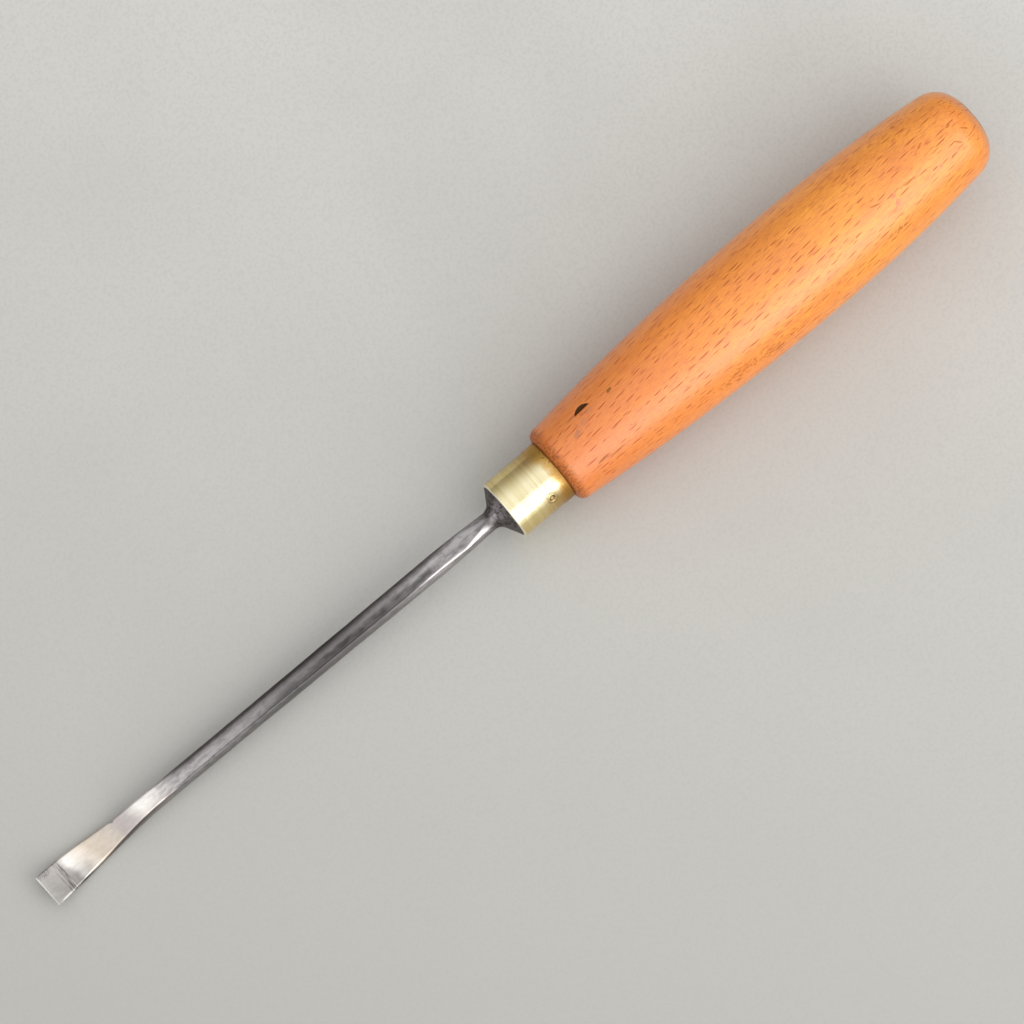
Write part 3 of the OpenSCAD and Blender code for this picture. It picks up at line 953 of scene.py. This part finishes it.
def steel_sides(g, metal, side):
    """Steel with painted shade on the top's right half, the left edge, the arris and chamfer, the spoon's
    dive, belt and flanks, and a painted highlight along the right arris of the neck and shank.
    """
    x = g.axes["X"]
    sideways = g.facing["Y"]
    shank = g.times(g.fit(x, 14, 24), g.fit(x, 102, 94))
    # Painted shade: the right half of the top is darkened along the shank.
    right_from = g.fit(x, 50, 88, -0.4, 0.9)
    right_half = g.times(g.fit(side, right_from, g.plus(right_from, 1.1)), g.fit(sideways, 0.5, 0.3), shank)
    metal = g.mix(right_half, metal, (0.54, 0.54, 0.54, 1), "MULTIPLY")
    arris = g.span(sideways, 0.16, 0.64, 0.08)
    # Painted highlight: arrises facing +y are painted nearly white at the neck and along the start of the
    # shank.
    arris_highlight = g.plus(g.span(x, 6.5, 12.5, 2.0), g.times(g.span(x, 12.5, 25, 3.0), 0.55))
    metal = g.mix(g.times(arris, arris_highlight, 0.8), metal, rgb(246, 242, 240))
    # Painted shade: the arris and chamfer are darkened beyond the neck's highlight.
    chamfer = g.times(g.fit(sideways, 0.4, 0.6), g.fit(x, 48, 66), 0.6)
    arris_and_chamfer_shade = g.times(g.most(g.times(arris, g.fit(x, 22, 32)), chamfer), g.fit(x, 104, 97))
    metal = g.mix(arris_and_chamfer_shade, metal, (0.36, 0.36, 0.36, 1), "MULTIPLY")
    # Painted shade: the top darkens towards its left edge.
    left_from = g.fit(x, 24, 80, -0.75, 0.0)
    left_edge = g.times(g.fit(side, left_from, -1.95), g.fit(x, 10, 20), g.fit(x, 104, 96))
    metal = g.mix(left_edge, metal, (0.36, 0.34, 0.34, 1), "MULTIPLY")
    # Painted shade: the right of the dive and of the bright belt before the crease are darkened.
    dive = g.times(g.fit(side, -0.6, 1.6), g.span(x, bend_x - 4, bend_x + 6, 2.0))
    metal = g.mix(dive, metal, (0.84, 0.81, 0.8, 1), "MULTIPLY")
    belt = g.times(g.fit(side, -1.5, 2.5), g.span(x, low_x + 2, crease_x - 1, 1.5))
    metal = g.mix(belt, metal, (0.66, 0.66, 0.66, 1), "MULTIPLY")
    # Painted shade: the spoon's flanks are darkened.
    spoon = g.times(g.fit(x, bend_x - 9, bend_x + 3), g.fit(x, crease_x, crease_x - 4))
    flank = g.times(g.fit(sideways, 0.66, 0.82), spoon)
    return g.mix(flank, metal, (0.3, 0.29, 0.29, 1), "MULTIPLY")


def bolster_scale(g, metal, along, mottle):
    """Steel with the dark forging scale that is left on the bolster."""
    scale = g.mix(g.fit(mottle, 0.4, 0.62), rgb(72, 65, 63), rgb(116, 110, 109))
    worn_patch = g.times(g.spot(2.0, 0, bolster_radius * 0.6, 2.6, 3.0), g.fit(mottle, 0.3, 0.55))
    scale = g.mix(worn_patch, scale, rgb(178, 170, 174))
    return g.mix(g.fit(along, 7.0, 3.5), metal, scale)


def edge_marks(g, metal):
    """Steel with the grinding scratches, pits and bright places near the cutting edge."""
    x, y = g.axes["X"], g.axes["Y"]
    ground = g.span(x, crease_x - 0.8, crease_x + 1.2, 0.4)
    scratches = g.fit(g.noise((0.2, 5, 5), detail=2.0, shift=(3, 3, 3)), 0.48, 0.6)
    metal = g.mix(g.times(scratches, ground, 0.8), metal, rgb(92, 86, 84))
    pitted_x = blade_reach - 1.8
    pitted_y = -4.2
    from_corner = g.length(g.times(g.plus(x, -pitted_x), 1 / 2.4), g.times(g.plus(y, -pitted_y), 1 / 1.5))
    pits = g.fit(g.noise((0.3, 0.3, 0.3), detail=3.0), 0.42, 0.58)
    metal = g.mix(g.times(g.fit(from_corner, 1.0, 0.5), pits, 0.6), metal, rgb(110, 106, 104))
    skewed = g.math("MULTIPLY_ADD", y, math.tan(edge_skew), x)
    return g.mix(g.fit(skewed, blade_reach - 0.45, blade_reach - 0.2, 0.0, 0.5), metal, rgb(252, 249, 244))


def steel():
    g = Graph(bpy.data.materials.new("forged_steel"))
    x, y = g.axes["X"], g.axes["Y"]
    streaks = g.noise((9, 0.35, 0.35), detail=3.0)
    mottle = g.noise((1.9, 0.9, 0.9), detail=4.0, rough=0.6)
    wander = g.plus(g.noise((4, 1.6, 1.6), detail=3.0, shift=(5, 2, 8)), -0.5)
    along = g.math("MULTIPLY_ADD", wander, g.fit(x, bend_x - 10, bend_x - 3, 6.0, 1.6), x)
    drift = (spoon_offset - neck_offset) / (bend_x - neck_x)
    side = g.plus(y, g.math("MULTIPLY_ADD", x, drift, neck_offset - drift * neck_x))
    metal = steel_tones(g, g.math("MULTIPLY_ADD", side, 0.35, along))
    blotches = g.fit(g.noise((3.4, 1.6, 1.6), detail=1.0, shift=(8, 1, 3)), 0.36, 0.66)
    hammered = g.times(blotches, g.span(side, -0.3, 1.3, 0.5), g.fit(x, 92, 52))
    metal = g.mix(hammered, metal, (0.5, 0.5, 0.51, 1), "MULTIPLY")
    spotted = g.times(g.fit(mottle, 0.4, 0.65), g.fit(x, bend_x - 6, bend_x + 4, 0.4, 0.1))
    metal = g.mix(spotted, metal, rgb(104, 99, 100))
    drawn = g.times(g.fit(streaks, 0.45, 0.7), g.fit(x, bend_x - 6, bend_x + 4, 0.18, 0.1))
    metal = g.mix(drawn, metal, rgb(84, 80, 82))
    metal = steel_sides(g, metal, side)
    metal = bolster_scale(g, metal, along, mottle)
    metal = edge_marks(g, metal)
    normal = g.bump(g.plus(mottle, g.times(streaks, 0.5)), 0.04, g.fit(x, bend_x - 6, bend_x + 4, 0.5, 0.25))
    roughness = g.math("MULTIPLY_ADD", mottle, 0.12, g.fit(x, bend_x - 10, bend_x, 0.3, 0.24))
    roughness = g.plus(roughness, g.fit(x, neck_x + 2, neck_x - 2, 0.0, 0.12))
    return g.finish(Base_Color=metal, Metallic=1.0, Roughness=roughness, Normal=normal)


# Floor, light and camera

def pale_floor():
    g = Graph(bpy.data.materials.new("pale_floor"))
    cloud = g.noise((60, 60, 60), detail=3.0)
    grain = g.noise((0.8, 0.8, 0.8))
    diagonal = g.plus(g.axes["X"], g.axes["Y"])
    # Painted light: the floor is painted lighter towards -x and -y and darker towards +x and +y, as the light
    # falls off across it.
    grey = g.ramp(diagonal, [(-200, rgb(202, 200, 195)), (200, rgb(173, 172, 167))])
    grey = g.mix(g.fit(cloud, 0.3, 0.7, 0.0, 0.25), grey, rgb(174, 173, 168))
    grey = g.mix(g.fit(grain, 0.4, 0.7, 0.0, 0.25), grey, rgb(168, 167, 161))
    return g.finish(Base_Color=grey, Roughness=0.55)


def build_floor():
    half = 4.0
    corners = [(-half, -half, 0), (half, -half, 0), (half, half, 0), (-half, half, 0)]
    mesh = bpy.data.meshes.new("floor")
    mesh.from_pydata(corners, [], [(0, 1, 2, 3)])
    mesh.materials.append(pale_floor())
    floor = add_object("floor", mesh)


def build_room():
    """World bright overhead that dims to the horizon, most on the -y side; the camera sees a plain one."""
    g = Graph(bpy.data.worlds.new("studio"))
    towards = g.node("ShaderNodeTexCoord", {}).outputs["Generated"]
    parts = g.node("ShaderNodeSeparateXYZ", {0: towards}).outputs
    dim_side = 0.38
    bright_side = 1.15
    overhead = 1.25
    seen_by_camera = 0.85
    horizon = g.fit(parts["Y"], -0.6, 1.0, dim_side, bright_side)
    upward = g.most(parts["Z"], 0.0)
    rise = g.math("SUBTRACT", overhead, horizon)
    room = g.math("MULTIPLY_ADD", g.times(upward, upward), rise, horizon)
    from_camera = g.node("ShaderNodeLightPath", {}).outputs["Is Camera Ray"]
    strength = g.node("ShaderNodeMix", {0: from_camera, 2: room, 3: seen_by_camera}).outputs[0]
    background = g.node("ShaderNodeBackground", {"Color": (1, 1, 1, 1), "Strength": strength})
    g.node("ShaderNodeOutputWorld", {"Surface": background.outputs[0]})
    bpy.context.scene.world = g.owner


def build_lamp(name, lean_degrees, width, height, brightness):
    """Soft lamp aimed at the tool, leaning from straight above towards +y and a little to the butt."""
    lean_angle = math.radians(lean_degrees)
    distance = 1.0
    along = -0.2
    data = bpy.data.lights.new(name, "AREA")
    data.shape = "RECTANGLE"
    data.size, data.size_y = width, height
    data.energy = brightness * math.pi * width * height
    lamp = add_object(name, data)
    lamp.location = (along, distance * math.sin(lean_angle), distance * math.cos(lean_angle))
    lamp.rotation_euler = (-lamp.location).to_track_quat("-Z", "Y").to_euler()


def build_camera():
    """Camera above the tool, leaning towards the picture's lower side, with the blade to its lower left."""
    distance = 1.2
    view_width = 0.2394
    lean_angle = math.radians(12)
    turn = math.radians(139.78)
    target = Vector((0.0019, 0.0014, 0.010))
    data = bpy.data.cameras.new("camera")
    data.sensor_width = 36.0
    data.lens = data.sensor_width * distance / view_width
    camera = add_object("camera", data)
    camera.rotation_euler = (lean_angle, 0, turn)
    camera.location = target + camera.rotation_euler.to_matrix() @ Vector((0, 0, distance))
    bpy.context.scene.camera = camera


pieces = [
    (build_blade(), "blade", "steel", steel()),
    (build_ferrule(), "ferrule", "brass", brass()),
    (build_handle(), "handle", "beech", beech())]
for piece, node, slot, material in pieces:
    piece.data.materials.append(material)
    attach(piece, "root")
    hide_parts(node)

build_floor()
build_room()
build_lamp("softbox", 38, 1.0, 0.6, 1.2)
build_lamp("window", 63, 0.6, 0.4, 2.0)
build_camera()
bpy.context.scene.view_settings.view_transform = "Standard"
